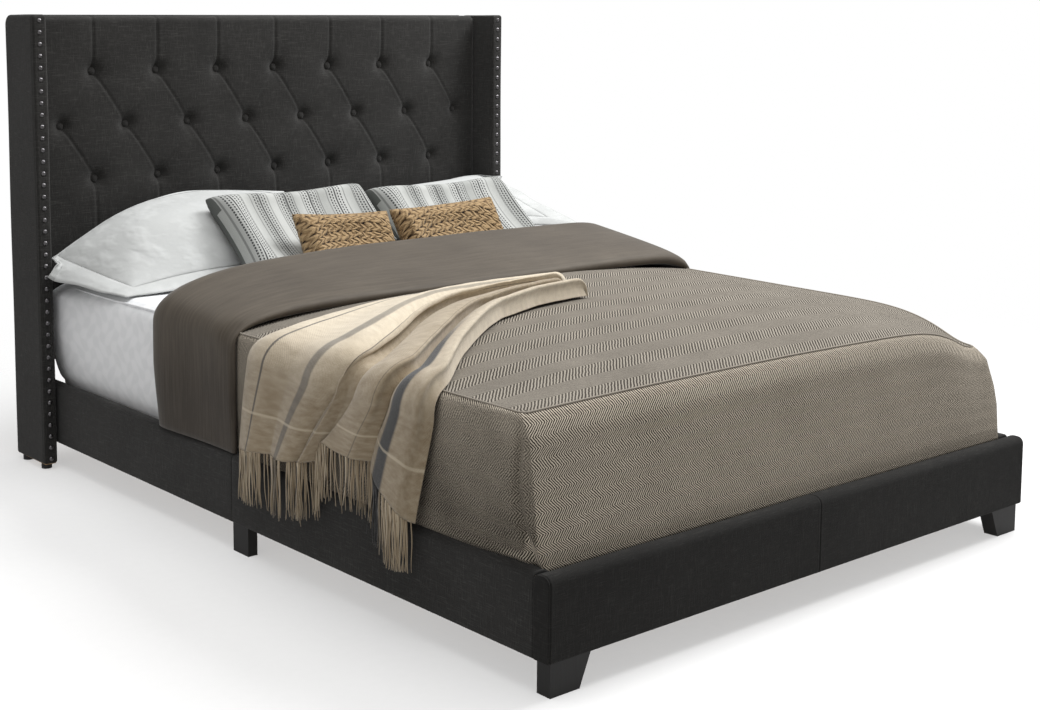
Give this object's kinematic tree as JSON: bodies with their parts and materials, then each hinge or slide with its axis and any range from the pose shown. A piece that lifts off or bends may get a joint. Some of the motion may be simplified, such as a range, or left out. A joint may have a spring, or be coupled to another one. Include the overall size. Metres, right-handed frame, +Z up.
{
  "type": "upholstered headboard bed",
  "caption": "Queen bed with a button-tufted winged headboard, padded rails and footboard, short dark legs, slatted base, mattress, comforter, throw and pillows.",
  "frame": {"origin": "on the floor, under the centre of the overall box", "axes": "+Y from the footboard to the headboard along the bed, +X to the right for someone who looks at the headboard from the foot, +Z up"},
  "size_m": [1.732, 2.205, 1.29],
  "materials": {
    "charcoal_linen": "coarse slubby linen weave",
    "nailhead_metal": "dark pewter, domed",
    "espresso_wood": "dark satin stain",
    "frame_timber": "planed softwood",
    "board_wood": "sanded plywood",
    "foam": "open-cell foam",
    "dust_cloth": "non-woven black cloth",
    "waxed_cord": "twisted cord",
    "steel_fittings": "powder coat",
    "bolt_steel": "zinc plated",
    "glide_plastic": "moulded",
    "slat_wood": "sanded",
    "strap_webbing": "woven tape",
    "mattress_core": "knitted ticking",
    "white_sheet": "woven jacquard cotton",
    "herringbone_wool": "woven herringbone",
    "taupe_sateen": "satin weave",
    "plaid_wool": "soft brushed wool",
    "white_linen": "washed linen",
    "dashed_cotton": "woven dashes",
    "braided_jute": "chunky braid"
  },
  "bodies": {
    "bed_frame": {"headboard_post_left": "frame_timber", "headboard_post_right": "frame_timber", "headboard_top_rail": "frame_timber", "headboard_bottom_rail": "frame_timber", "headboard_lower_rail": "frame_timber", "tufting_board": "board_wood", "headboard_foam": "foam", "headboard_cover": "charcoal_linen", "headboard_back_cloth": "dust_cloth", "tufting_buttons": "charcoal_linen", "button_ties": "waxed_cord", "button_anchors": "board_wood", "wing_frame_left": "board_wood", "wing_frame_right": "board_wood", "wing_cover_left": "charcoal_linen", "wing_cover_right": "charcoal_linen", "wing_nails_left": "nailhead_metal", "wing_nails_right": "nailhead_metal", "wing_glides": "glide_plastic", "wing_bolts": "bolt_steel", "rail_board_left_head": "frame_timber", "rail_board_left_foot": "frame_timber", "rail_board_right_head": "frame_timber", "rail_board_right_foot": "frame_timber", "rail_cover_left_head": "charcoal_linen", "rail_cover_left_foot": "charcoal_linen", "rail_cover_right_head": "charcoal_linen", "rail_cover_right_foot": "charcoal_linen", "rail_joiners": "steel_fittings", "footboard_board": "frame_timber", "footboard_cover": "charcoal_linen", "foot_leg_left": "espresso_wood", "foot_leg_right": "espresso_wood", "mid_leg_left": "espresso_wood", "mid_leg_right": "espresso_wood", "leg_bolts": "bolt_steel", "foot_brackets": "steel_fittings", "head_brackets": "steel_fittings", "frame_bolts": "bolt_steel", "slat_ledge_left": "frame_timber", "slat_ledge_right": "frame_timber", "centre_beam": "frame_timber", "beam_brackets": "steel_fittings", "centre_legs": "frame_timber", "centre_leg_glides": "glide_plastic", "slats": "slat_wood", "slat_straps": "strap_webbing"},
    "mattress_set": {"mattress": "mattress_core", "fitted_sheet": "white_sheet"},
    "comforter_set": {"comforter": "herringbone_wool", "comforter_turnback": "taupe_sateen"},
    "throw_set": {"throw": "plaid_wool", "throw_fringe": "plaid_wool"},
    "sham_right_set": {"sham_right": "white_linen"},
    "sham_left_set": {"sham_left": "white_linen"},
    "striped_right_set": {"cushion_striped_right": "dashed_cotton"},
    "striped_left_set": {"cushion_striped_left": "dashed_cotton"},
    "tan_right_set": {"cushion_tan_right": "braided_jute"},
    "tan_left_set": {"cushion_tan_left": "braided_jute"}
  },
  "joints": [
    {"name": "mattress_lift", "type": "slide", "parent": "bed_frame", "child": "mattress_set", "axis": [0, 0, 1], "range_m": [0, 0.3]},
    {"name": "comforter_lift", "type": "slide", "parent": "mattress_set", "child": "comforter_set", "axis": [0, 0, 1], "range_m": [0, 0.2]},
    {"name": "throw_lift", "type": "slide", "parent": "comforter_set", "child": "throw_set", "axis": [0, 0, 1], "range_m": [0, 0.15]},
    {"name": "sham_right_lift", "type": "slide", "parent": "mattress_set", "child": "sham_right_set", "axis": [0, 0, 1], "range_m": [0, 0.12]},
    {"name": "sham_left_lift", "type": "slide", "parent": "sham_right_set", "child": "sham_left_set", "axis": [0, 0, 1], "range_m": [0, 0.12]},
    {"name": "striped_right_lift", "type": "slide", "parent": "sham_left_set", "child": "striped_right_set", "axis": [0, 0, 1], "range_m": [0, 0.12]},
    {"name": "striped_left_lift", "type": "slide", "parent": "striped_right_set", "child": "striped_left_set", "axis": [0, 0, 1], "range_m": [0, 0.12]},
    {"name": "tan_right_lift", "type": "slide", "parent": "striped_left_set", "child": "tan_right_set", "axis": [0, 0, 1], "range_m": [0, 0.12]},
    {"name": "tan_left_lift", "type": "slide", "parent": "tan_right_set", "child": "tan_left_set", "axis": [0, 0, 1], "range_m": [0, 0.12]}
  ]
}
